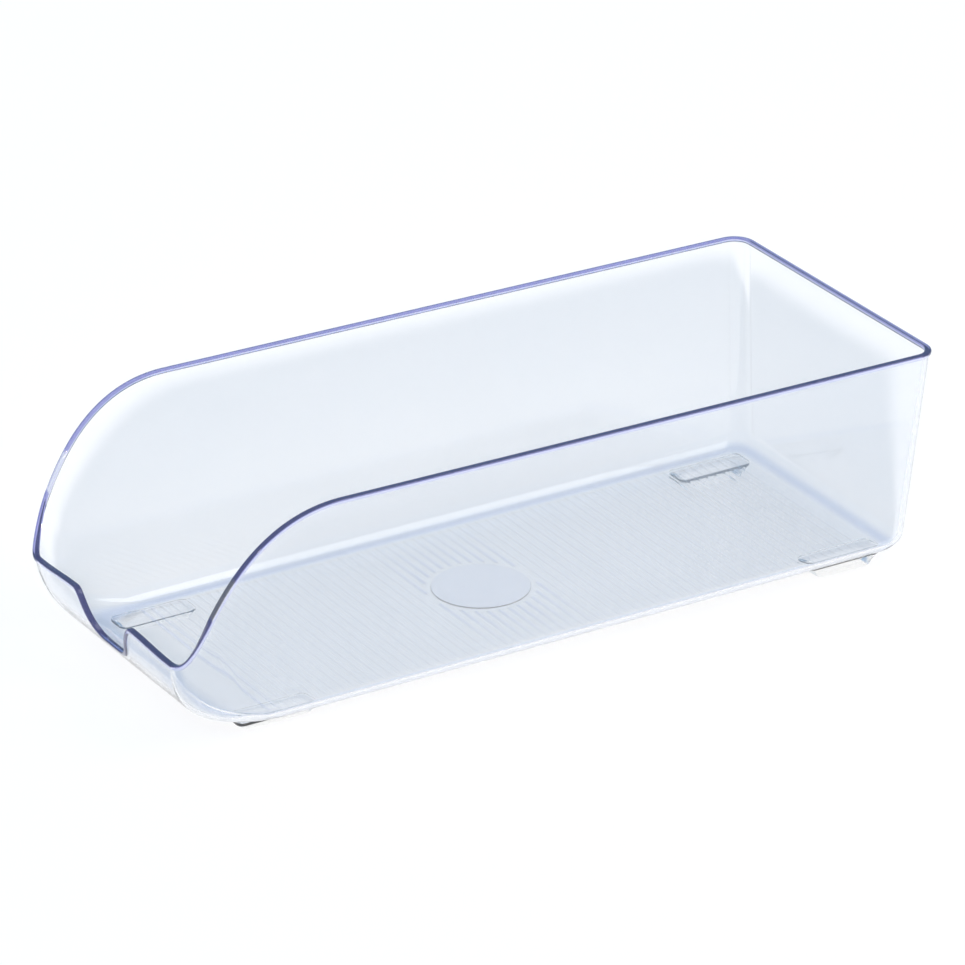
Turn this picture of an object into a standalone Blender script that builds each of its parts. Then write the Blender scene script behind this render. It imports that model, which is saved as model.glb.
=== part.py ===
"""Fridge can organizer: a clear moulded tray that stands on four clear foot pads.

Metres, +Z up. The origin is on the shelf under the middle of the tray. The low
loading lip is at -Y and the tall back wall at +Y. The rim is level, and the floor
falls gently towards the lip, so that cans lying across the tray roll forward.
"""
import math

import bmesh
import bpy
from mathutils import Vector

# Overall sizes over the rim band
tray_width = 0.150
tray_length = 0.351
tray_height = 0.100

# Shell: a moulded wall that leans outwards from the floor to the rim
wall = 0.0021
side_draft = 0.0107
back_draft = 0.0042
bottom_radius = 0.010
back_corner_radius = 0.0090

# Floor: height of its underside above the shelf, at the lip end and at the back
front_clearance = 0.0019
rear_clearance = 0.0060

# Front: the floor turns up into the lip as a quarter ellipse, with rounded plan corners
scoop_depth = 0.035
scoop_height = 0.038
lip_corner_radius = 0.0115
scoop_corner_width = 0.020
scoop_corner_length = 0.026
scoop_corner_power = 2.5

# Rim band that follows the whole edge
rim_proud = 0.0008
rim_band_height = 0.0022
rim_chamfer = 0.0005

# The sides sweep down from the rim to the corners of the lip
sweep_length = 0.0696
sweep_lip_handle_share = 0.10
sweep_rim_handle_share = 0.755
lip_height = 0.0395
lip_corner_drop = 0.0013

# Finger notch in the middle of the lip
notch_half_width = 0.0160
notch_depth = 0.0178
notch_foot_run = 0.0105
notch_top_run = 0.0080
notch_foot_handle = 0.0116
notch_top_handle = 0.0077

# Grip ribs across the floor, and the plain disc, whose centre is measured from the middle
rib_pitch = 0.00443
rib_width = 0.0014
rib_crest_share = 0.4
rib_height = 0.00025
rib_end_reach = 0.0005
rib_front_margin = 0.0107
rib_back_margin = 0.006
disc_radius = 0.0207
disc_centre = 0.0
disc_height = 0.00035

# Foot pads with sloping ends, and the moulded seats that they sit under
pad_length = 0.0345
pad_width = 0.0110
pad_side_inset = 0.0198
pad_corner_radius = 0.0024
pad_end_slope = 1.2
front_pad_setback = 0.0496
rear_pad_setback = 0.0315
front_seat_height = 0.0005
rear_seat_height = 0.0013
seat_border = 0.0005
seat_gap = 0.0003
overrun = 0.0010

# Counts along the half outline, from the middle of the back to the middle of the lip
back_steps = 3
back_corner_steps = 6
side_steps = 5
sweep_steps = 16
lip_corner_steps = 7
horn_steps = 4
notch_side_steps = 11
notch_floor_steps = 2
fillet_steps = 7
disc_segments = 40
pad_corner_steps = 5

tray_colour = (0.80, 0.86, 0.95, 1.0)
pad_colour = (0.95, 0.96, 0.97, 1.0)

# Worked out from the sizes above
half_width = tray_width / 2
half_length = tray_length / 2
floor_middle = (front_clearance + rear_clearance) / 2
shell_height = tray_height - floor_middle
floor_slope = (rear_clearance - front_clearance) / tray_length
lip_corner_height = lip_height - lip_corner_drop
quarter_turn = math.pi / 2


def floor_under(y):
    """Height of the floor's underside above the shelf."""
    return front_clearance + floor_slope * (y + half_length)


def smooth(share):
    """Eased step from 0 to 1."""
    share = min(1.0, max(0.0, share))
    return share * share * (3 - 2 * share)


def bezier(start, start_handle, end_handle, end, t):
    """One coordinate of a cubic curve."""
    back = 1 - t
    return (back ** 3 * start + 3 * back * back * t * start_handle
            + 3 * back * t * t * end_handle + t ** 3 * end)


def solve(rising, target, low, high):
    """The place between low and high where a rising function reaches the target."""
    for _ in range(50):
        middle = (low + high) / 2
        if rising(middle) < target:
            low = middle
        else:
            high = middle
    return (low + high) / 2


def leaning_inset(level, draft, skin):
    """How far a side or back skin stands in from the rim, at a level above the floor."""
    radius = bottom_radius - skin
    slope = draft / shell_height
    lean = math.atan(slope)
    tangent_level = radius * (1 - math.sin(lean))
    if level >= tangent_level:
        return draft - slope * level
    centre = draft - slope * radius + radius / math.cos(lean)
    return centre - math.sqrt(max(0.0, radius ** 2 - (radius - level) ** 2))


def scoop_inset(level, skin):
    """How far the front skin stands in from the lip, at a level above the floor."""
    depth = scoop_depth - skin
    height = scoop_height - skin
    if level >= height:
        return 0.0
    rise = (height - level) / height
    return depth * (1 - math.sqrt(max(0.0, 1 - rise * rise)))


def outline_point(segment, share, level, skin):
    """Plan point of the outline at a level. skin is the depth in from the wall's outer face.

    The half outline has five segments: back, back_corner, side, lip_corner and lip.
    """
    inset = rim_proud + skin
    side = half_width - inset - leaning_inset(level, side_draft, skin)
    back = half_length - inset - leaning_inset(level, back_draft, skin)
    front = -half_length + inset + scoop_inset(level, skin)
    back_radius = back_corner_radius - skin
    spread = max(0.0, 1 - level / scoop_height) ** scoop_corner_power
    corner_width = lip_corner_radius + (scoop_corner_width - lip_corner_radius) * spread - skin
    corner_length = lip_corner_radius + (scoop_corner_length - lip_corner_radius) * spread - skin
    turn = quarter_turn * share
    if segment == "back":
        return (side - back_radius) * share, back
    if segment == "back_corner":
        return (side - back_radius * (1 - math.sin(turn)),
                back - back_radius * (1 - math.cos(turn)))
    if segment == "side":
        start = back - back_radius
        end = front + corner_length
        return side, start + (end - start) * share
    if segment == "lip_corner":
        return (side - corner_width * (1 - math.cos(turn)),
                front + corner_length * (1 - math.sin(turn)))
    return (side - corner_width) * (1 - share), front


def shell_point(station, level, skin):
    """Point of a skin at a station of the outline and a level above the floor."""
    segment, share = station
    x, y = outline_point(segment, share, level, skin)
    under = floor_under(y) + skin
    z = under + level * (tray_height - under) / shell_height
    return Vector((x, y, z))


def sweep_height(setback):
    """Height of the side's edge at a distance behind the lip."""
    if setback >= sweep_length:
        return tray_height

    def along(t):
        return bezier(0.0, sweep_length * sweep_lip_handle_share,
                      sweep_length * (1 - sweep_rim_handle_share), sweep_length, t)

    t = solve(along, max(0.0, setback), 0.0, 1.0)
    return lip_corner_height + (tray_height - lip_corner_height) * smooth(t)


def lip_edge_height(x):
    """Height of the lip's edge, with the finger notch in its middle."""
    foot = notch_half_width - notch_foot_run
    top = notch_half_width + notch_top_run
    if x <= foot:
        return lip_height - notch_depth
    if x >= top:
        corner = half_width - side_draft - lip_corner_radius
        return lip_height - lip_corner_drop * smooth((x - top) / (corner - top))

    def across(t):
        return bezier(foot, foot + notch_foot_handle, top - notch_top_handle, top, t)

    t = solve(across, x, 0.0, 1.0)
    return lip_height - notch_depth * (1 - smooth(t))


def edge_height(station, point):
    """Height of the tray's edge over a plan point of a station."""
    if station[0] == "lip":
        return lip_edge_height(point.x)
    return sweep_height(point.y + half_length)


def spread_steps(segment, count):
    """Evenly spaced stations along one segment, without its end."""
    return [(segment, step / count) for step in range(count)]


def side_stations():
    """Stations on the side: even along the level rim, then close together down the sweep."""
    level = scoop_height
    start = outline_point("side", 0.0, level, 0.0)[1]
    end = outline_point("side", 1.0, level, 0.0)[1]
    sweep_start = -half_length + sweep_length
    stations = []
    for step in range(side_steps):
        y = start + (sweep_start - start) * step / side_steps
        stations.append(("side", (y - start) / (end - start)))
    for step in range(sweep_steps):
        t = 1 - step / sweep_steps
        setback = bezier(0.0, sweep_length * sweep_lip_handle_share,
                         sweep_length * (1 - sweep_rim_handle_share), sweep_length, t)
        y = -half_length + setback
        if y > end:
            stations.append(("side", (y - start) / (end - start)))
    return stations


def lip_stations():
    """Stations on the lip: the horn, the side of the notch and the notch's bottom."""
    end_x, _ = outline_point("lip", 0.0, scoop_height, 0.0)
    foot = notch_half_width - notch_foot_run
    top = notch_half_width + notch_top_run
    places = [end_x + (top - end_x) * step / horn_steps for step in range(horn_steps)]
    for step in range(notch_side_steps):
        t = 1 - step / notch_side_steps
        places.append(bezier(foot, foot + notch_foot_handle, top - notch_top_handle, top, t))
    places += [foot * (1 - step / notch_floor_steps) for step in range(notch_floor_steps + 1)]
    return [("lip", 1 - place / end_x) for place in places]


def outline_stations():
    """All stations of the half outline, from the middle of the back to the middle of the lip."""
    return (spread_steps("back", back_steps) + spread_steps("back_corner", back_corner_steps)
            + side_stations() + spread_steps("lip_corner", lip_corner_steps) + lip_stations())


def level_at_height(station, height, skin):
    """Level at which a skin reaches a height above the shelf."""
    return solve(lambda level: shell_point(station, level, skin).z, height, 0.0, shell_height)


def edge_point(station, skin):
    """Where a skin meets the tray's edge curve."""
    def over(level):
        point = shell_point(station, level, skin)
        return point.z - edge_height(station, point)

    return shell_point(station, solve(over, 0.0, 0.0, shell_height), skin)


def lowered_edge(edge, drop):
    """Heights of the curve that lies a distance inside the edge, measured square to it."""
    places = [0.0]
    for before, after in zip(edge, edge[1:]):
        places.append(places[-1] + (after.xy - before.xy).length)
    samples = []
    for index in range(len(edge) - 1):
        for part in range(sweep_steps):
            share = part / sweep_steps
            place = places[index] + (places[index + 1] - places[index]) * share
            height = edge[index].z + (edge[index + 1].z - edge[index].z) * share
            samples.append((place, height))
    samples.append((places[-1], edge[-1].z))
    heights = []
    for place in places:
        near = [height - math.sqrt(drop ** 2 - (place - other) ** 2)
                for other, height in samples if abs(place - other) <= drop]
        heights.append(min(near))
    return heights


def front_share(station):
    """0 on the sides and back, 1 on the lip, eased round the lip's corner."""
    segment, share = station
    if segment == "lip":
        return 1.0
    if segment == "lip_corner":
        return smooth(share)
    return 0.0


def fillet_levels(station, skin, top_level):
    """Levels of the rows that turn from the floor into the wall."""
    radius = bottom_radius - skin
    depth = scoop_height - skin
    side_top = min(radius, top_level / 2)
    front_top = min(depth, top_level) - (top_level - side_top) / fillet_steps ** 2
    mix = front_share(station)
    levels = []
    for step in range(1, fillet_steps + 1):
        turn = step / fillet_steps
        side_level = side_top * (1 - math.cos(quarter_turn * turn))
        front_turn = math.acos(1 - min(front_top, depth) / depth)
        front_level = depth * (1 - math.cos(front_turn * turn))
        levels.append(side_level + (front_level - side_level) * mix)
    return levels


def section(station, edge, band_low, outer_shoulder):
    """Section through the shell at a station, from the floor's underside over the rim and in.

    edge, band_low and outer_shoulder are heights: the top, the band's foot and its chamfer.
    """
    def at(height, skin):
        return shell_point(station, level_at_height(station, height, skin), skin)

    low_level = level_at_height(station, band_low, 0.0)
    outside = [shell_point(station, 0.0, 0.0)]
    outside += [shell_point(station, level, 0.0)
                for level in fillet_levels(station, 0.0, low_level)]
    outside.append(at(band_low, 0.0))
    rim = [at(band_low + rim_proud, -rim_proud), at(outer_shoulder, -rim_proud),
           at(edge, -rim_proud + rim_chamfer), at(edge, wall - rim_chamfer),
           at(outer_shoulder, wall)]
    inner_top = level_at_height(station, band_low, wall)
    inside = [shell_point(station, level, wall)
              for level in reversed(fillet_levels(station, wall, inner_top))]
    inside.append(shell_point(station, 0.0, wall))
    return outside + rim + inside


def shell_half():
    """Mesh of the tray's +X half, open at the middle plane."""
    stations = outline_stations()
    edge = [edge_point(station, -rim_proud) for station in stations]
    band_low = lowered_edge(edge, rim_band_height)
    shoulder = lowered_edge(edge, rim_chamfer)
    shell = bmesh.new()
    rows = []
    for station, top, low, chamfer in zip(stations, edge, band_low, shoulder):
        rows.append([shell.verts.new(point) for point in section(station, top.z, low, chamfer)])
    for row, after in zip(rows, rows[1:]):
        for index in range(len(row) - 1):
            shell.faces.new((row[index], after[index], after[index + 1], row[index + 1]))
    shell.faces.new([row[0] for row in reversed(rows)])
    shell.faces.new([row[-1] for row in rows])
    bmesh.ops.recalc_face_normals(shell, faces=shell.faces)
    mesh = bpy.data.meshes.new("tray")
    shell.to_mesh(mesh)
    shell.free()
    return mesh


def make_material(name, colour, roughness):
    """Clear moulded plastic."""
    material = bpy.data.materials.new(name)
    material.use_nodes = True
    shader = material.node_tree.nodes["Principled BSDF"]
    shader.inputs["Base Color"].default_value = colour
    shader.inputs["Roughness"].default_value = roughness
    shader.inputs["Metallic"].default_value = 0.0
    shader.inputs["Transmission Weight"].default_value = 1.0
    shader.inputs["IOR"].default_value = 1.57
    return material


def make_collection(name):
    """New collection in the scene."""
    collection = bpy.data.collections.new(name)
    bpy.context.scene.collection.children.link(collection)
    return collection


def add_object(name, mesh, collection, material=None):
    """Object for a mesh, in a collection, with its material."""
    item = bpy.data.objects.new(name, mesh)
    collection.objects.link(item)
    if material:
        mesh.materials.append(material)
    return item


def rounded_bar(name, length, width, radius, bottom, top):
    """Upright bar with rounded corners, long side along Y, between two heights."""
    curve = bpy.data.curves.new(name, "CURVE")
    curve.dimensions = "2D"
    curve.fill_mode = "BOTH"
    curve.extrude = (top - bottom) / 2
    spline = curve.splines.new("POLY")
    centre_x = width / 2 - radius
    centre_y = length / 2 - radius
    outline = []
    for quarter, (side, end) in enumerate(((1, 1), (-1, 1), (-1, -1), (1, -1))):
        for step in range(pad_corner_steps + 1):
            turn = quarter_turn * (quarter + step / pad_corner_steps)
            outline.append((side * centre_x + radius * math.cos(turn),
                            end * centre_y + radius * math.sin(turn)))
    spline.points.add(len(outline) - 1)
    for point, (x, y) in zip(spline.points, outline):
        point.co = (x, y, 0.0, 1.0)
    spline.use_cyclic_u = True
    guide = bpy.data.objects.new(name, curve)
    bpy.context.scene.collection.objects.link(guide)
    depsgraph = bpy.context.evaluated_depsgraph_get()
    mesh = bpy.data.meshes.new_from_object(guide.evaluated_get(depsgraph))
    bpy.data.objects.remove(guide)
    bar = bmesh.new()
    bar.from_mesh(mesh)
    bmesh.ops.remove_doubles(bar, verts=bar.verts, dist=overrun / 100)
    bmesh.ops.translate(bar, verts=bar.verts, vec=(0.0, 0.0, (top + bottom) / 2))
    bmesh.ops.recalc_face_normals(bar, faces=bar.faces)
    bar.to_mesh(mesh)
    bar.free()
    mesh.name = name
    return mesh


def tilt_face(mesh, height, low_side=False):
    """Tilt the top or bottom of an upright bar to lie along the sloping floor."""
    for vertex in mesh.vertices:
        if (vertex.co.z < height) == low_side:
            vertex.co.z += floor_slope * vertex.co.y


def foot_places():
    """Name, centre and seat height of each foot pad."""
    x = half_width - pad_side_inset - pad_width / 2
    front_y = -half_length + front_pad_setback
    rear_y = half_length - rear_pad_setback
    return (("front_left_foot", -x, front_y, front_seat_height),
            ("front_right_foot", x, front_y, front_seat_height),
            ("rear_left_foot", -x, rear_y, rear_seat_height),
            ("rear_right_foot", x, rear_y, rear_seat_height))


def hide_cutter(cutter):
    """Keep a helper solid out of renders and draw it as wire."""
    cutter.hide_render = True
    cutter.display_type = "WIRE"


def join_to(tray, helper):
    """Boolean union that fuses a helper solid into the tray."""
    union = tray.modifiers.new(helper.name, "BOOLEAN")
    union.operation = "UNION"
    union.solver = "EXACT"
    union.object = helper


def add_seats(tray, cutters):
    """Moulded seats under the floor, one over each foot pad."""
    for name, x, y, seat_height in foot_places():
        under = floor_under(y)
        mesh = rounded_bar(name + "_seat", pad_length + 2 * seat_border,
                           pad_width + 2 * seat_border, pad_corner_radius + seat_border,
                           under - seat_height, under + overrun)
        tilt_face(mesh, under, low_side=True)
        tilt_face(mesh, under)
        seat = add_object(name + "_seat", mesh, cutters)
        seat.location = (x, y, 0.0)
        hide_cutter(seat)
        join_to(tray, seat)


def rib_mesh(reach):
    """Low ridge along X, narrower at its crest, sunk a little into the floor."""
    rib = bmesh.new()
    bmesh.ops.create_cube(rib, size=1.0)
    bmesh.ops.scale(rib, verts=rib.verts, vec=(2 * reach, rib_width, rib_height + overrun))
    bmesh.ops.translate(rib, verts=rib.verts, vec=(0.0, 0.0, (rib_height - overrun) / 2))
    crest = [vertex for vertex in rib.verts if vertex.co.z > 0]
    bmesh.ops.scale(rib, verts=crest, vec=(1.0, rib_crest_share, 1.0))
    mesh = bpy.data.meshes.new("floor_ribs")
    rib.to_mesh(mesh)
    rib.free()
    return mesh


def add_floor_relief(tray, cutters):
    """Grip ribs across the floor and the plain disc in the middle."""
    flat_side = outline_point("side", 1.0, 0.0, wall)[0]
    flat_front = outline_point("lip", 1.0, 0.0, wall)[1]
    flat_back = outline_point("back", 0.0, 0.0, wall)[1]
    first = flat_front + rib_front_margin
    last = flat_back - rib_back_margin
    ribs = add_object("floor_ribs", rib_mesh(flat_side + rib_end_reach), cutters)
    tilt = math.atan(floor_slope)
    ribs.location = (0.0, first, floor_under(first) + wall)
    ribs.rotation_euler = (tilt, 0.0, 0.0)
    row = ribs.modifiers.new("row", "ARRAY")
    row.use_relative_offset = False
    row.use_constant_offset = True
    row.constant_offset_displace = (0.0, rib_pitch, 0.0)
    row.count = int((last - first) / rib_pitch) + 1
    hide_cutter(ribs)
    join_to(tray, ribs)

    plate = bmesh.new()
    bmesh.ops.create_cone(plate, cap_ends=True, segments=disc_segments, radius1=disc_radius,
                          radius2=disc_radius, depth=disc_height + overrun)
    mesh = bpy.data.meshes.new("floor_disc")
    plate.to_mesh(mesh)
    plate.free()
    disc = add_object("floor_disc", mesh, cutters)
    disc.location = (0.0, disc_centre,
                     floor_under(disc_centre) + wall + (disc_height - overrun) / 2)
    disc.rotation_euler = (tilt, 0.0, 0.0)
    hide_cutter(disc)
    join_to(tray, disc)


def add_tray(parts, cutters, material):
    """The one-piece moulded tray."""
    tray = add_object("tray", shell_half(), parts, material)
    mirror = tray.modifiers.new("other_half", "MIRROR")
    mirror.use_clip = True
    mirror.merge_threshold = 0.00001
    add_seats(tray, cutters)
    add_floor_relief(tray, cutters)
    tray.data.shade_smooth()
    tray.data.set_sharp_from_angle(angle=math.radians(30))
    return tray


def add_feet(parts, material):
    """Four foot pads, each just under its seat, flat on the shelf."""
    for name, x, y, seat_height in foot_places():
        top = floor_under(y) - seat_height - seat_gap
        mesh = rounded_bar(name, pad_length, pad_width, pad_corner_radius, 0.0, top)
        bottom_share = 1 - 2 * pad_end_slope * top / pad_length
        for vertex in mesh.vertices:
            if vertex.co.z < top / 2:
                vertex.co.y *= bottom_share
        tilt_face(mesh, top / 2)
        foot = add_object(name, mesh, parts, material)
        foot.location = (x, y, 0.0)


def build():
    """The whole organizer."""
    for item in list(bpy.data.objects):
        bpy.data.objects.remove(item, do_unlink=True)
    parts = make_collection("fridge_can_organizer")
    cutters = make_collection("fridge_can_organizer_cutters")
    clear_plastic = make_material("clear_blue_tinted_plastic", tray_colour, 0.04)
    clear_rubber = make_material("clear_soft_plastic", pad_colour, 0.25)
    add_tray(parts, cutters, clear_plastic)
    add_feet(parts, clear_rubber)


build()
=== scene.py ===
import math

import bmesh
import bpy
import numpy as np
from mathutils import Matrix, Vector
from mathutils.kdtree import KDTree


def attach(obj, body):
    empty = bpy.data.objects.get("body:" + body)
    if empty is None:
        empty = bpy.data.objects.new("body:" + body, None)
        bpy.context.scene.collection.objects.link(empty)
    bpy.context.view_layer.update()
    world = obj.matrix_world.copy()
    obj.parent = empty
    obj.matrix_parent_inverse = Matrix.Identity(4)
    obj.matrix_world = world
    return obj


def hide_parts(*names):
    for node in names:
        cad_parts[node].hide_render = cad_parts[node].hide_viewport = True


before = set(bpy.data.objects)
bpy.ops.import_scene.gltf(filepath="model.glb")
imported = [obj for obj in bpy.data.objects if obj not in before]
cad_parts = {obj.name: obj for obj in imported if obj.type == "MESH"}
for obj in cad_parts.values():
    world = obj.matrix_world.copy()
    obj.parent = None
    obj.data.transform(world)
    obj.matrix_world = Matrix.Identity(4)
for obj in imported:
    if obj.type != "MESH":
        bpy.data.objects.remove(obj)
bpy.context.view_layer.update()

# Sizes of the tray, the same as in the part's source
tray_width = 0.150
tray_length = 0.351
tray_height = 0.100
wall = 0.0021
side_draft = 0.0107
back_draft = 0.0042
bottom_radius = 0.010
back_corner_radius = 0.0090
front_clearance = 0.0019
rear_clearance = 0.0060
scoop_depth = 0.035
scoop_height = 0.038
lip_corner_radius = 0.0115
scoop_corner_width = 0.020
scoop_corner_length = 0.026
scoop_corner_power = 2.5
rim_proud = 0.0008
rim_band_height = 0.0022
sweep_length = 0.0696
sweep_lip_handle_share = 0.10
sweep_rim_handle_share = 0.755
lip_height = 0.0395
lip_corner_drop = 0.0013
notch_half_width = 0.0160
notch_depth = 0.0178
notch_foot_run = 0.0105
notch_top_run = 0.0080
notch_foot_handle = 0.0116
notch_top_handle = 0.0077
rib_pitch = 0.00443
rib_width = 0.0026
rib_height = 0.00010
rib_end_reach = 0.0005
rib_front_margin = 0.0107
rib_back_margin = 0.006
disc_radius = 0.0207
disc_centre = 0.0
disc_height = 0.00035
pad_length = 0.0345
pad_width = 0.0110
pad_side_inset = 0.0198
pad_corner_radius = 0.0024
pad_end_slope = 1.2
front_pad_setback = 0.0496
rear_pad_setback = 0.0315
front_seat_height = 0.0005
rear_seat_height = 0.0013
seat_border = 0.0005
seat_gap = 0.0003

# Rounding of the rim band, finer than in the solids. Each row of the fillet under the band says
# how much of the band's proud part it has reached, and how far above the band's foot it lies.
rim_top_radius = 0.0009
rim_inner_radius = 0.0007
rim_fillet_rows = ((0.0, 0.0), (0.35, 0.0001), (0.75, 0.0003), (1.0, 0.0006))
rim_top_steps = 6
rim_inner_steps = 5
band_rows = (2, 4)

# Steps along the outline, close together where it curves
back_steps = 10
corner_steps = 14
side_steps = 24
sweep_steps = 56
lip_corner_steps = 24
lip_steps = 10
notch_steps = 36
notch_floor_steps = 5
fillet_steps = 14

# Ribs, disc, seats and pads
relief_overlap = 0.0008
rib_steps = 12
disc_steps = 96
disc_foot_share = 0.5
disc_shoulder_share = 0.9
disc_shoulder_inset_share = 0.35
block_corner_steps = 6
block_edge_steps = 4
seat_edge_radius = 0.00004
pad_edge_radius = 0.0002

# Two points closer than this are the same point
same_point = 1e-6
smooth_angle = math.radians(34)

# Plastic: tints, painted shade on the rim band, top edges, ribs, disc and bottom radius, how
# cloudy each part is, and how far up the bottom radius its painted shade reaches
tray_tint = (0.988, 0.994, 1.0, 1.0)
tray_tint_deep = (0.972, 0.986, 0.998, 1.0)
# Painted shade: the rim band is drawn darker and more violet than the plastic around it
rim_painted_shade = (0.58, 0.59, 0.84, 1.0)
# Painted shade: dark navy lines along the top edges of the rim
edge_painted_shade = (0.20, 0.20, 0.50, 1.0)
# Painted shade: a darker band along the bottom radius inside and out
radius_painted_shade = (0.70, 0.76, 0.89, 1.0)
# Painted shade: darker lines on the ribs, and fainter ones on the disc
rib_painted_shade = (0.76, 0.80, 0.94, 1.0)
tray_haze = 0.02
rim_haze = 0.16
edge_haze = 0.16
rib_haze = 0.10
# Painted shade and haze on the disc, as this share of the ribs'
disc_mark = 0.45
back_band_share = 0.65
side_band_share = 0.50
sweep_edge_share = 0.45
tray_absorption = (0.20, 0.30, 0.72, 1.0)
tray_absorption_density = 6.0
tray_ior = 1.57
tray_roughness = 0.05
tint_noise_scale = 18.0
tint_noise_detail = 2.0
roughness_noise_scale = 40.0
noise_detail = 3.0
wave_scale = 22.0
wave_height = 0.00006
pad_tint = (1.0, 1.0, 1.0, 1.0)
pad_tint_deep = (0.95, 0.96, 0.98, 1.0)
pad_haze = 0.06
pad_absorption = (0.8, 0.86, 0.9, 1.0)
pad_absorption_density = 8.0
pad_ior = 1.2
pad_roughness_low = 0.04
pad_roughness_high = 0.12
pad_tint_noise_scale = 60.0
pad_roughness_noise_scale = 200.0

# Floor: how much of what each kind of ray sees is plain white, the rest being lit and shaded
camera_share = 0.66
seen_through_share = 0.30
floor_reach = 12.0
floor_colour = (0.9, 0.9, 0.9, 1.0)
white = (1.0, 1.0, 1.0, 1.0)

# Light and camera, fitted to the photo. The sun stands behind the camera.
world_colour = (0.41, 0.68, 1.0, 1.0)
world_strength = 0.608
sun_colour = (1.0, 0.92, 0.84)
sun_strength = 5.6
sun_angle = math.radians(2.5)
lamp_place = (0.915, 1.027, 1.75)
lamp_target = (0.0, 0.0, 0.05)
lamp_width = 1.3
lamp_height = 1.2
lamp_watts = 8.0
camera_azimuth = math.radians(59.12)
camera_elevation = math.radians(24.562)
camera_target = (0.0, 0.00139, 0.05246)
camera_distance = 2.5947
camera_near = 0.05
camera_far = 100.0
sensor_width = 36.0
focal_pixels = 6341.0
photo_pixels = 965.0

half_width = tray_width / 2
half_length = tray_length / 2
floor_slope = (rear_clearance - front_clearance) / tray_length
shell_height = tray_height - (front_clearance + rear_clearance) / 2
lip_corner_height = lip_height - lip_corner_drop
quarter_turn = math.pi / 2


def floor_under(y):
    """Height of the underside of the tray's floor, which rises to the back."""
    return front_clearance + floor_slope * (y + half_length)


def smooth(share):
    """Ease in and out between 0 and 1."""
    share = min(1.0, max(0.0, share))
    return share * share * (3 - 2 * share)


def bezier(start, start_handle, end_handle, end, t):
    back = 1 - t
    return (back ** 3 * start + 3 * back * back * t * start_handle
            + 3 * back * t * t * end_handle + t ** 3 * end)


def solve(rising, target, low, high):
    """Where a rising function reaches a target."""
    for _ in range(40):
        middle = (low + high) / 2
        if rising(middle) < target:
            low = middle
        else:
            high = middle
    return (low + high) / 2


def leaning_inset(level, draft, skin):
    """How far a wall with draft and a bottom radius lies inside the rim at a level."""
    radius = bottom_radius - skin
    slope = draft / shell_height
    lean = math.atan(slope)
    if level >= radius * (1 - math.sin(lean)):
        return draft - slope * level
    centre = draft - slope * radius + radius / math.cos(lean)
    return centre - math.sqrt(max(0.0, radius ** 2 - (radius - level) ** 2))


def scoop_inset(level, skin):
    """How far the large scoop under the lip lies behind the lip at a level."""
    depth = scoop_depth - skin
    height = scoop_height - skin
    if level >= height:
        return 0.0
    rise = (height - level) / height
    return depth * (1 - math.sqrt(max(0.0, 1 - rise * rise)))


def outline_point(segment, share, level, skin):
    """Point of the +X half of the outline at a level, a skin's depth inside the outer face."""
    inset = rim_proud + skin
    side = half_width - inset - leaning_inset(level, side_draft, skin)
    back = half_length - inset - leaning_inset(level, back_draft, skin)
    front = -half_length + inset + scoop_inset(level, skin)
    back_radius = back_corner_radius - skin
    spread = max(0.0, 1 - level / scoop_height) ** scoop_corner_power
    corner_width = lip_corner_radius + (scoop_corner_width - lip_corner_radius) * spread - skin
    corner_length = lip_corner_radius + (scoop_corner_length - lip_corner_radius) * spread - skin
    turn = quarter_turn * share
    if segment == "back":
        return (side - back_radius) * share, back
    if segment == "back_corner":
        return (side - back_radius * (1 - math.sin(turn)),
                back - back_radius * (1 - math.cos(turn)))
    if segment == "side":
        start = back - back_radius
        end = front + corner_length
        return side, start + (end - start) * share
    if segment == "lip_corner":
        return (side - corner_width * (1 - math.cos(turn)),
                front + corner_length * (1 - math.sin(turn)))
    return (side - corner_width) * (1 - share), front


def shell_point(station, level, skin):
    x, y = outline_point(*station, level, skin)
    under = floor_under(y) + skin
    return Vector((x, y, under + level * (tray_height - under) / shell_height))


def point_at_height(station, height, skin):
    """Point of a skin at a height, with its level."""
    level = height - floor_under(0.0) - skin
    for _ in range(5):
        _, y = outline_point(*station, max(0.0, level), skin)
        under = floor_under(y) + skin
        level = (height - under) * shell_height / (tray_height - under)
    return shell_point(station, level, skin), level


def sweep_height(setback):
    """Height of the side's edge at a distance behind the lip."""
    if setback >= sweep_length:
        return tray_height
    t = solve(lambda t: bezier(0.0, sweep_length * sweep_lip_handle_share,
                               sweep_length * (1 - sweep_rim_handle_share), sweep_length, t),
              max(0.0, setback), 0.0, 1.0)
    return lip_corner_height + (tray_height - lip_corner_height) * smooth(t)


def lip_edge_height(x):
    """Height of the lip's edge, with its finger notch."""
    foot = notch_half_width - notch_foot_run
    top = notch_half_width + notch_top_run
    if x <= foot:
        return lip_height - notch_depth
    if x >= top:
        corner = half_width - side_draft - lip_corner_radius
        return lip_height - lip_corner_drop * smooth((x - top) / (corner - top))
    t = solve(lambda t: bezier(foot, foot + notch_foot_handle, top - notch_top_handle, top, t),
              x, 0.0, 1.0)
    return lip_height - notch_depth * (1 - smooth(t))


def edge_height(station, point):
    if station[0] == "lip":
        return lip_edge_height(point.x)
    return sweep_height(point.y + half_length)


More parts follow.
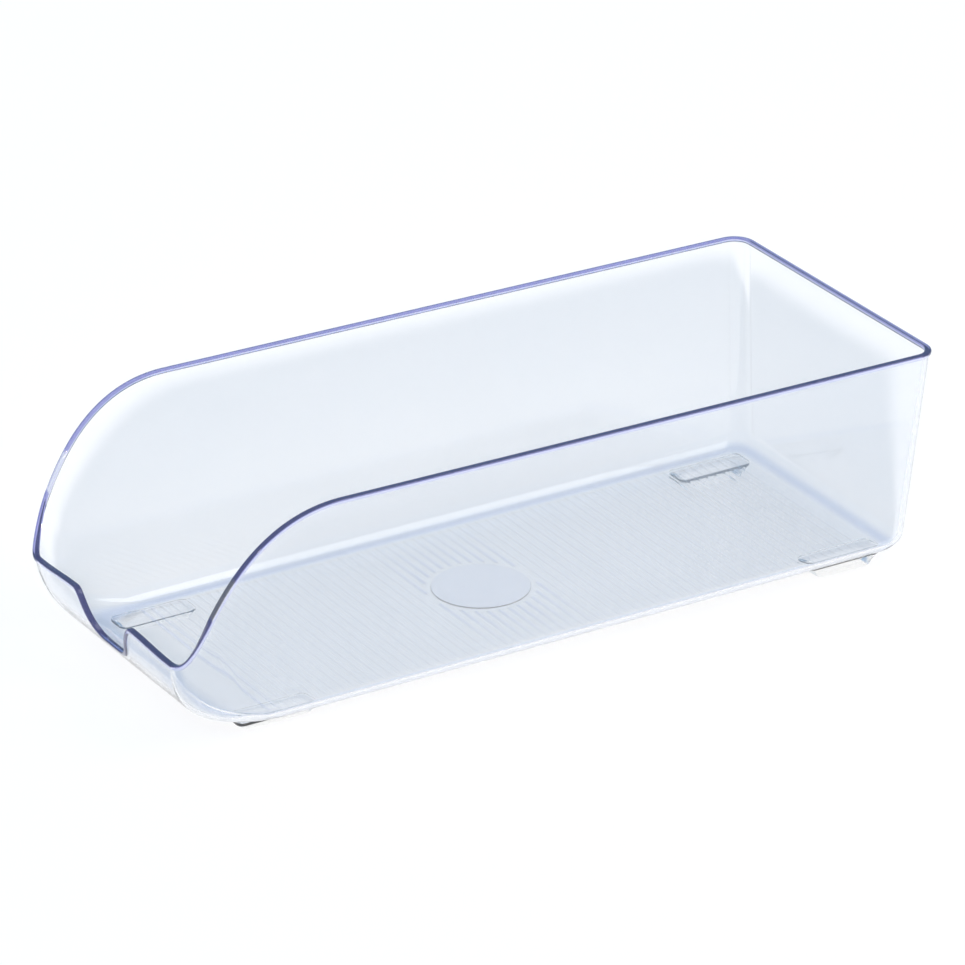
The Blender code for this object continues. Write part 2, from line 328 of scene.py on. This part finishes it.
def outline_stations():
    """Stations from the middle of the back to the middle of the lip, close together at curves."""
    stations = [("back", step / back_steps) for step in range(back_steps)]
    stations += [("back_corner", step / corner_steps) for step in range(corner_steps)]
    start = outline_point("side", 0.0, scoop_height, 0.0)[1]
    end = outline_point("side", 1.0, scoop_height, 0.0)[1]
    sweep_start = -half_length + sweep_length
    stations += [("side", (sweep_start - start) / (end - start) * step / side_steps)
                 for step in range(side_steps)]
    for step in range(sweep_steps):
        setback = bezier(0.0, sweep_length * sweep_lip_handle_share,
                         sweep_length * (1 - sweep_rim_handle_share), sweep_length,
                         1 - step / sweep_steps)
        y = -half_length + setback
        if y > end:
            stations.append(("side", (y - start) / (end - start)))
    stations += [("lip_corner", step / lip_corner_steps) for step in range(lip_corner_steps)]
    end_x, _ = outline_point("lip", 0.0, scoop_height, 0.0)
    foot = notch_half_width - notch_foot_run
    top = notch_half_width + notch_top_run
    places = [end_x + (top - end_x) * step / lip_steps for step in range(lip_steps)]
    places += [bezier(foot, foot + notch_foot_handle, top - notch_top_handle, top,
                      1 - step / notch_steps)
               for step in range(notch_steps)]
    places += [foot * (1 - step / notch_floor_steps) for step in range(notch_floor_steps + 1)]
    return stations + [("lip", 1 - place / end_x) for place in places]


def edge_curve(stations):
    """The top edge at the outside of the rim band."""
    edge = []
    for station in stations:
        def over(level):
            point = shell_point(station, level, -rim_proud)
            return point.z - edge_height(station, point)
        level = solve(over, 0.0, 0.0, shell_height)
        edge.append(shell_point(station, level, -rim_proud))
    return edge


def lowered(edge, drop):
    """Heights of the curve that lies a distance inside the edge, measured square to it."""
    if drop == 0:
        return [point.z for point in edge]
    places = np.array([0.0] + [(b.xy - a.xy).length for a, b in zip(edge, edge[1:])]).cumsum()
    heights = np.array([point.z for point in edge])
    window = np.linspace(-drop, drop, 41)
    arc = np.sqrt(drop ** 2 - window ** 2)
    return [float((np.interp(place + window, places, heights) - arc).min()) for place in places]


def front_share(station):
    """How much of the front's scoop, rather than the side's radius, a station has."""
    if station[0] == "lip":
        return 1.0
    return smooth(station[1]) if station[0] == "lip_corner" else 0.0


def fillet_levels(station, skin, top_level, count=fillet_steps):
    """Levels of the rows up the bottom radius, or up the scoop at the front."""
    radius = bottom_radius - skin
    depth = scoop_height - skin
    side_top = min(radius, top_level / 2)
    front_top = min(depth, top_level) - (top_level - side_top) / count ** 2
    front_turn = math.acos(1 - min(front_top, depth) / depth)
    mix = front_share(station)
    levels = []
    for step in range(1, count + 1):
        turn = step / count
        side_level = side_top * (1 - math.cos(quarter_turn * turn))
        front_level = depth * (1 - math.cos(front_turn * turn))
        levels.append(side_level + (front_level - side_level) * mix)
    return levels


def rim_profile():
    """Skin depth and drop below the edge of each row of the rim band, outside to inside."""
    rows = [(-rim_proud * share, rim_band_height - rise) for share, rise in rim_fillet_rows]
    for step in range(rim_top_steps + 1):
        turn = quarter_turn * step / rim_top_steps
        rows.append((-rim_proud + rim_top_radius * (1 - math.cos(turn)),
                     rim_top_radius * (1 - math.sin(turn))))
    for step in range(rim_inner_steps + 1):
        turn = quarter_turn * step / rim_inner_steps
        rows.append((wall - rim_inner_radius * (1 - math.sin(turn)),
                     rim_inner_radius * (1 - math.cos(turn))))
    return rows


def shell_rows():
    """Points of the +X half of the shell, one row of points for each station."""
    stations = outline_stations()
    edge = edge_curve(stations)
    profile = rim_profile()
    drops = sorted({drop for _, drop in profile})
    heights = {drop: lowered(edge, drop) for drop in drops}
    rows = []
    for index, station in enumerate(stations):
        low = heights[profile[0][1]][index]
        low_level = point_at_height(station, low, 0.0)[1]
        row = [shell_point(station, 0.0, 0.0)]
        row += [shell_point(station, level, 0.0)
                for level in fillet_levels(station, 0.0, low_level)]
        row += [point_at_height(station, heights[drop][index], skin)[0] for skin, drop in profile]
        inner_level = point_at_height(station, low, wall)[1]
        row += [shell_point(station, level, wall)
                for level in reversed(fillet_levels(station, wall, inner_level))]
        row.append(shell_point(station, 0.0, wall))
        rows.append(row)
    return rows


def shell_mesh(half):
    """The whole shell as one closed mesh: both halves share the points of the middle plane."""
    other = [[Vector((-p.x, p.y, p.z)) for p in row] for row in reversed(half[1:-1])]
    shell = bmesh.new()
    ring = [[shell.verts.new(p) for p in row] for row in half + other]
    for row, after in zip(ring, ring[1:] + ring[:1]):
        for index in range(len(row) - 1):
            shell.faces.new((row[index], after[index], after[index + 1], row[index + 1]))
    shell.faces.new([row[0] for row in reversed(ring)])
    shell.faces.new([row[-1] for row in ring])
    bmesh.ops.recalc_face_normals(shell, faces=shell.faces)
    mesh = bpy.data.meshes.new("tray_shell")
    shell.to_mesh(mesh)
    shell.free()
    return mesh


def new_object(name, mesh):
    item = bpy.data.objects.new(name, mesh)
    bpy.context.scene.collection.objects.link(item)
    return item


def apply_modifiers(item):
    """Put an object's evaluated mesh in place of its own."""
    depsgraph = bpy.context.evaluated_depsgraph_get()
    mesh = bpy.data.meshes.new_from_object(item.evaluated_get(depsgraph))
    item.modifiers.clear()
    item.data = mesh
    mesh.name = item.name


def block_mesh(name, length, width, radius, bottom, top, end_run, edge_radius, flat_bottom):
    """Pad or seat: a bar with rounded corners and sloping ends that lies along the floor."""
    outline = []
    for quarter, (side, end) in enumerate(((1, 1), (-1, 1), (-1, -1), (1, -1))):
        for step in range(block_corner_steps + 1):
            turn = quarter_turn * (quarter + step / block_corner_steps)
            outline.append((side * (width / 2 - radius), end * (length / 2 - radius),
                            math.cos(turn), math.sin(turn)))
    block = bmesh.new()
    rings = []
    layers = [(bottom, edge_radius)]
    for step in range(1, block_edge_steps + 1):
        turn = quarter_turn * step / block_edge_steps
        layers.append((bottom + edge_radius * (1 - math.cos(turn)),
                       edge_radius * (1 - math.sin(turn))))
    layers.append((top, 0.0))
    for height, inset in layers:
        run = end_run * (top - height) / (top - bottom)
        shrink = 1 - 2 * run / length
        ring = []
        for cx, cy, nx, ny in outline:
            x = cx + (radius - inset) * nx
            y = (cy + (radius - inset) * ny) * shrink
            tilt = (height - bottom) / (top - bottom) if flat_bottom else 1.0
            z = height + floor_slope * y * tilt
            ring.append(block.verts.new((x, y, z)))
        rings.append(ring)
    for ring, after in zip(rings, rings[1:]):
        for index in range(len(ring)):
            follow = (index + 1) % len(ring)
            block.faces.new((ring[index], ring[follow], after[follow], after[index]))
    block.faces.new(list(reversed(rings[0])))
    block.faces.new(rings[-1])
    bmesh.ops.recalc_face_normals(block, faces=block.faces)
    mesh = bpy.data.meshes.new(name)
    block.to_mesh(mesh)
    block.free()
    return mesh


def foot_places():
    """Name, x, y and seat height of each foot."""
    x = half_width - pad_side_inset - pad_width / 2
    front_y = -half_length + front_pad_setback
    rear_y = half_length - rear_pad_setback
    return (("front_left_foot", -x, front_y, front_seat_height),
            ("front_right_foot", x, front_y, front_seat_height),
            ("rear_left_foot", -x, rear_y, rear_seat_height),
            ("rear_right_foot", x, rear_y, rear_seat_height))


def relief_mesh():
    """Ribs and disc that are fused to the floor, and the seats under it, as closed solids."""
    relief = bmesh.new()
    flat_side = outline_point("side", 1.0, 0.0, wall)[0]
    flat_front = outline_point("lip", 1.0, 0.0, wall)[1]
    flat_back = outline_point("back", 0.0, 0.0, wall)[1]
    first = flat_front + rib_front_margin
    last = flat_back - rib_back_margin
    reach = flat_side + rib_end_reach
    middle = disc_centre
    crest = [(step / rib_steps - 0.5, rib_height * math.sin(math.pi * step / rib_steps) ** 2)
             for step in range(rib_steps + 1)]
    profile = [(-0.5, -relief_overlap)] + crest + [(0.5, -relief_overlap)]
    for index in range(int((last - first) / rib_pitch) + 1):
        y = first + index * rib_pitch
        z = floor_under(y) + wall
        spans = [(-reach, reach)]
        gap = abs(y - middle)
        clear = disc_radius + rib_width
        if gap < clear:
            cut = math.sqrt(clear ** 2 - gap ** 2)
            spans = [(-reach, -cut), (cut, reach)]
        for low, high in spans:
            ends = []
            for x in (low, high):
                ends.append([relief.verts.new((x, y + share * rib_width, z + up
                                               + floor_slope * share * rib_width))
                             for share, up in profile])
            for at in range(len(profile)):
                to = (at + 1) % len(profile)
                relief.faces.new((ends[0][at], ends[0][to], ends[1][to], ends[1][at]))
            relief.faces.new(list(reversed(ends[0])))
            relief.faces.new(ends[1])
    z = floor_under(middle) + wall
    rings = []
    for up, radius in ((-relief_overlap, disc_radius),
                       (disc_height * disc_foot_share, disc_radius),
                       (disc_height * disc_shoulder_share,
                        disc_radius - disc_height * disc_shoulder_inset_share),
                       (disc_height, disc_radius - disc_height)):
        ring = []
        for step in range(disc_steps):
            turn = 2 * math.pi * step / disc_steps
            y = radius * math.sin(turn)
            ring.append(relief.verts.new((radius * math.cos(turn), middle + y,
                                          z + up + floor_slope * y)))
        rings.append(ring)
    for ring, after in zip(rings, rings[1:]):
        for index in range(disc_steps):
            to = (index + 1) % disc_steps
            relief.faces.new((ring[index], ring[to], after[to], after[index]))
    relief.faces.new(list(reversed(rings[0])))
    relief.faces.new(rings[-1])
    for name, x, y, seat_height in foot_places():
        under = floor_under(y)
        seat = block_mesh(name, pad_length + 2 * seat_border, pad_width + 2 * seat_border,
                          pad_corner_radius + seat_border, -seat_height, relief_overlap, 0.0,
                          seat_edge_radius, False)
        seat.transform(Matrix.Translation((x, y, under)))
        relief.from_mesh(seat)
        bpy.data.meshes.remove(seat)
    bmesh.ops.recalc_face_normals(relief, faces=relief.faces)
    mesh = bpy.data.meshes.new("tray_relief")
    relief.to_mesh(mesh)
    relief.free()
    return mesh


def clear_plastic(name, absorption_colour, density, ior):
    """Clear plastic whose tint deepens with the way through it. Returns it with its shader."""
    material = bpy.data.materials.new(name)
    material.use_nodes = True
    nodes = material.node_tree.nodes
    links = material.node_tree.links
    shader = nodes["Principled BSDF"]
    shader.inputs["Transmission Weight"].default_value = 1.0
    shader.inputs["IOR"].default_value = ior
    volume = nodes.new("ShaderNodeVolumeAbsorption")
    volume.inputs["Color"].default_value = absorption_colour
    volume.inputs["Density"].default_value = density
    links.new(volume.outputs["Volume"], nodes["Material Output"].inputs["Volume"])
    return material, shader


def noise(material, scale, detail):
    """Noise in the object's own coordinates."""
    nodes = material.node_tree.nodes
    links = material.node_tree.links
    place = nodes.new("ShaderNodeTexCoord")
    texture = nodes.new("ShaderNodeTexNoise")
    texture.inputs["Scale"].default_value = scale
    texture.inputs["Detail"].default_value = detail
    links.new(place.outputs["Object"], texture.inputs["Vector"])
    return texture.outputs["Fac"]


def vary(material, factor, low, high, target):
    """Map a factor onto a range of numbers and link it to an input."""
    ranged = material.node_tree.nodes.new("ShaderNodeMapRange")
    ranged.inputs["To Min"].default_value = low
    ranged.inputs["To Max"].default_value = high
    material.node_tree.links.new(factor, ranged.inputs["Value"])
    material.node_tree.links.new(ranged.outputs["Result"], target)


def blend(material, factor, first, second):
    """Mix two colours; the first may be a colour or a node's output."""
    links = material.node_tree.links
    mix = material.node_tree.nodes.new("ShaderNodeMix")
    mix.data_type = "RGBA"
    links.new(factor, mix.inputs["Factor"])
    if isinstance(first, tuple):
        mix.inputs[6].default_value = first
    else:
        links.new(first, mix.inputs[6])
    mix.inputs[7].default_value = second
    return mix.outputs[2]


def mark(material, name):
    """A number that the mesh carries at each vertex."""
    attribute = material.node_tree.nodes.new("ShaderNodeAttribute")
    attribute.attribute_name = name
    return attribute.outputs["Fac"]


def moulded_wave(material, shader, scale, distance):
    """Faint waviness of a moulded surface."""
    bump = material.node_tree.nodes.new("ShaderNodeBump")
    bump.inputs["Strength"].default_value = 1.0
    bump.inputs["Distance"].default_value = distance
    material.node_tree.links.new(noise(material, scale, 0.0), bump.inputs["Height"])
    material.node_tree.links.new(bump.outputs["Normal"], shader.inputs["Normal"])


def tray_plastic():
    """Clear plastic with a faint tint, with painted shade on the rim band, top edges, ribs, disc
    and bottom radius that the mesh marks, and cloudiness by the haze mark.
    """
    material, shader = clear_plastic("clear_blue_tinted_plastic", tray_absorption,
                                     tray_absorption_density, tray_ior)
    tint = blend(material, noise(material, tint_noise_scale, tint_noise_detail),
                 tray_tint, tray_tint_deep)
    # Painted shade: the ribs and disc, the bottom radius, the rim band and the top edges darken
    # the colour where the mesh marks them
    tint = blend(material, mark(material, "rib"), tint, rib_painted_shade)
    tint = blend(material, mark(material, "bottom_radius"), tint, radius_painted_shade)
    tint = blend(material, mark(material, "rim_band"), tint, rim_painted_shade)
    tint = blend(material, mark(material, "top_edge"), tint, edge_painted_shade)
    material.node_tree.links.new(tint, shader.inputs["Base Color"])
    vary(material, mark(material, "haze"), 1.0, 0.0, shader.inputs["Transmission Weight"])
    vary(material, noise(material, roughness_noise_scale, noise_detail), 0.0, tray_roughness,
         shader.inputs["Roughness"])
    moulded_wave(material, shader, wave_scale, wave_height)
    return material


def pad_plastic():
    """Clear soft pad, a little hazy."""
    material, shader = clear_plastic("clear_soft_pad", pad_absorption, pad_absorption_density,
                                     pad_ior)
    colour = blend(material, noise(material, pad_tint_noise_scale, tint_noise_detail),
                   pad_tint, pad_tint_deep)
    material.node_tree.links.new(colour, shader.inputs["Base Color"])
    shader.inputs["Transmission Weight"].default_value = 1 - pad_haze
    vary(material, noise(material, pad_roughness_noise_scale, noise_detail), pad_roughness_low,
         pad_roughness_high, shader.inputs["Roughness"])
    return material


def shell_marks(rows):
    """The shell's points, each with its marks for painted shade and haze: rim band, top edge and
    bottom radius.
    """
    last_row = len(rim_profile()) - 1
    first_band_row, last_band_row = band_rows
    points = []
    for station, row in zip(outline_stations(), rows):
        on_sweep = station[0] == "side" and row[0].y < -half_length + sweep_length
        top = sweep_edge_share if on_sweep else 1.0
        rim = [(1.0 if first_band_row <= index <= last_band_row else 0.0,
                top if last_band_row < index < last_row else 0.0, 0.0)
               for index in range(last_row + 1)]
        share = back_band_share if station[0].startswith("back") else side_band_share
        radius = [(0.0, 0.0, math.sin(math.pi * min(1.0, step / (share * fillet_steps))) ** 2)
                  for step in range(1, fillet_steps + 1)]
        marks = [(0.0, 0.0, 0.0)] + radius + rim + radius[::-1] + [(0.0, 0.0, 0.0)]
        points += list(zip(row, marks))
        points += [(Vector((-point.x, point.y, point.z)), numbers)
                   for point, numbers in zip(row, marks)]
    return points


def mark_tray(mesh, marks):
    """Give the vertices the numbers by which the material paints shade on the plastic and clouds
    it.
    """
    tree = KDTree(len(marks))
    for index, (point, _) in enumerate(marks):
        tree.insert(point, index)
    tree.balance()
    reach = outline_point("side", 1.0, 0.0, wall)[0] + rib_end_reach
    columns = {name: [] for name in ("rim_band", "top_edge", "bottom_radius", "rib", "haze")}
    for vertex in mesh.vertices:
        point = vertex.co
        _, found, distance = tree.find(point)
        on_band, on_edge, on_radius = marks[found][1] if distance < same_point else (0.0,) * 3
        up = point.z - floor_under(point.y) - wall
        on_rib = 0.0
        if distance >= same_point and abs(point.x) <= reach and same_point < up < disc_height * 2:
            on_disc = point.xy.length < disc_radius + rib_width / 2
            on_rib = disc_mark if on_disc else min(1.0, up / rib_height)
        haze = tray_haze + rim_haze * on_band + edge_haze * on_edge + rib_haze * on_rib
        for name, number in zip(columns, (on_band, on_edge, on_radius, on_rib, haze)):
            columns[name].append(number)
    for name, numbers in columns.items():
        mesh.attributes.new(name, "FLOAT", "POINT").data.foreach_set("value", numbers)


def build_tray():
    """Shell, ribs, disc and seats in one mesh, as in the moulding."""
    rows = shell_rows()
    tray = new_object("tray_shell", shell_mesh(rows))
    helper = new_object("tray_relief", relief_mesh())
    union = tray.modifiers.new("relief", "BOOLEAN")
    union.operation = "UNION"
    union.solver = "EXACT"
    union.object = helper
    apply_modifiers(tray)
    bpy.data.objects.remove(helper)
    mesh = tray.data
    mesh.shade_smooth()
    mesh.set_sharp_from_angle(angle=smooth_angle)
    weighted = tray.modifiers.new("flat_faces", "WEIGHTED_NORMAL")
    weighted.keep_sharp = True
    apply_modifiers(tray)
    mesh = tray.data
    mark_tray(mesh, shell_marks(rows))
    mesh.materials.clear()
    mesh.materials.append(tray_plastic())
    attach(tray, "root")
    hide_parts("tray")


def build_feet():
    material = pad_plastic()
    for name, x, y, seat_height in foot_places():
        top = floor_under(y) - seat_height - seat_gap
        mesh = block_mesh(name + "_pad", pad_length, pad_width, pad_corner_radius, 0.0, top,
                          pad_end_slope * top, pad_edge_radius, True)
        mesh.transform(Matrix.Translation((x, y, 0.0)))
        mesh.shade_smooth()
        mesh.set_sharp_from_angle(angle=smooth_angle)
        mesh.materials.append(material)
        pad = new_object(name + "_pad", mesh)
        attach(pad, "root")
        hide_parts(name)


def build_floor():
    """Wide pale floor. It is white to the camera and keeps a light shadow."""
    mesh = bpy.data.meshes.new("floor")
    corners = [(side * floor_reach, end * floor_reach, 0)
               for side, end in ((-1, -1), (1, -1), (1, 1), (-1, 1))]
    mesh.from_pydata(corners, [], [(0, 1, 2, 3)])
    floor = new_object("floor", mesh)
    material = bpy.data.materials.new("floor_white")
    material.use_nodes = True
    nodes = material.node_tree.nodes
    links = material.node_tree.links
    nodes.clear()
    output = nodes.new("ShaderNodeOutputMaterial")
    diffuse = nodes.new("ShaderNodeBsdfDiffuse")
    diffuse.inputs["Color"].default_value = floor_colour
    glow = nodes.new("ShaderNodeEmission")
    glow.inputs["Color"].default_value = white
    path = nodes.new("ShaderNodeLightPath")
    shares = []
    for kind, part in (("Is Camera Ray", camera_share), ("Is Glossy Ray", camera_share),
                       ("Is Transmission Ray", seen_through_share)):
        part_of = nodes.new("ShaderNodeMath")
        part_of.operation = "MULTIPLY"
        links.new(path.outputs[kind], part_of.inputs[0])
        part_of.inputs[1].default_value = part
        shares.append(part_of)
    larger = nodes.new("ShaderNodeMath")
    larger.operation = "MAXIMUM"
    links.new(shares[0].outputs[0], larger.inputs[0])
    links.new(shares[1].outputs[0], larger.inputs[1])
    share = nodes.new("ShaderNodeMath")
    share.operation = "MAXIMUM"
    links.new(larger.outputs[0], share.inputs[0])
    links.new(shares[2].outputs[0], share.inputs[1])
    mix = nodes.new("ShaderNodeMixShader")
    links.new(share.outputs[0], mix.inputs["Fac"])
    links.new(diffuse.outputs[0], mix.inputs[1])
    links.new(glow.outputs[0], mix.inputs[2])
    links.new(mix.outputs[0], output.inputs["Surface"])
    mesh.materials.append(material)


def build_world():
    world = bpy.data.worlds.new("studio")
    bpy.context.scene.world = world
    world.use_nodes = True
    nodes = world.node_tree.nodes
    links = world.node_tree.links
    nodes.clear()
    output = nodes.new("ShaderNodeOutputWorld")
    light = nodes.new("ShaderNodeBackground")
    light.inputs["Color"].default_value = world_colour
    light.inputs["Strength"].default_value = world_strength
    links.new(light.outputs[0], output.inputs["Surface"])


def place_in_scene(name, data, location, away):
    """A lamp or camera that looks against the direction away."""
    item = bpy.data.objects.new(name, data)
    item.location = location
    item.rotation_euler = away.to_track_quat("Z", "Y").to_euler()
    bpy.context.scene.collection.objects.link(item)
    return item


def towards_camera():
    return Vector((math.sin(camera_azimuth) * math.cos(camera_elevation),
                   -math.cos(camera_azimuth) * math.cos(camera_elevation),
                   math.sin(camera_elevation)))


def build_lights():
    sun = bpy.data.lights.new("key", "SUN")
    sun.energy = sun_strength
    sun.angle = sun_angle
    sun.color = sun_colour
    place_in_scene("key", sun, (0.0, 0.0, 0.0), towards_camera())
    lamp = bpy.data.lights.new("back_light", "AREA")
    lamp.shape = "RECTANGLE"
    lamp.size = lamp_width
    lamp.size_y = lamp_height
    lamp.energy = lamp_watts
    place_in_scene("back_light", lamp, lamp_place, Vector(lamp_place) - Vector(lamp_target))


def build_camera():
    camera = bpy.data.cameras.new("camera")
    camera.sensor_width = sensor_width
    camera.lens = focal_pixels / photo_pixels * sensor_width
    camera.clip_start = camera_near
    camera.clip_end = camera_far
    away = towards_camera()
    place = Vector(camera_target) + away * camera_distance
    bpy.context.scene.camera = place_in_scene("camera", camera, place, away)


build_tray()
build_feet()
build_floor()
build_world()
build_lights()
build_camera()
bpy.context.scene.view_settings.view_transform = "Standard"
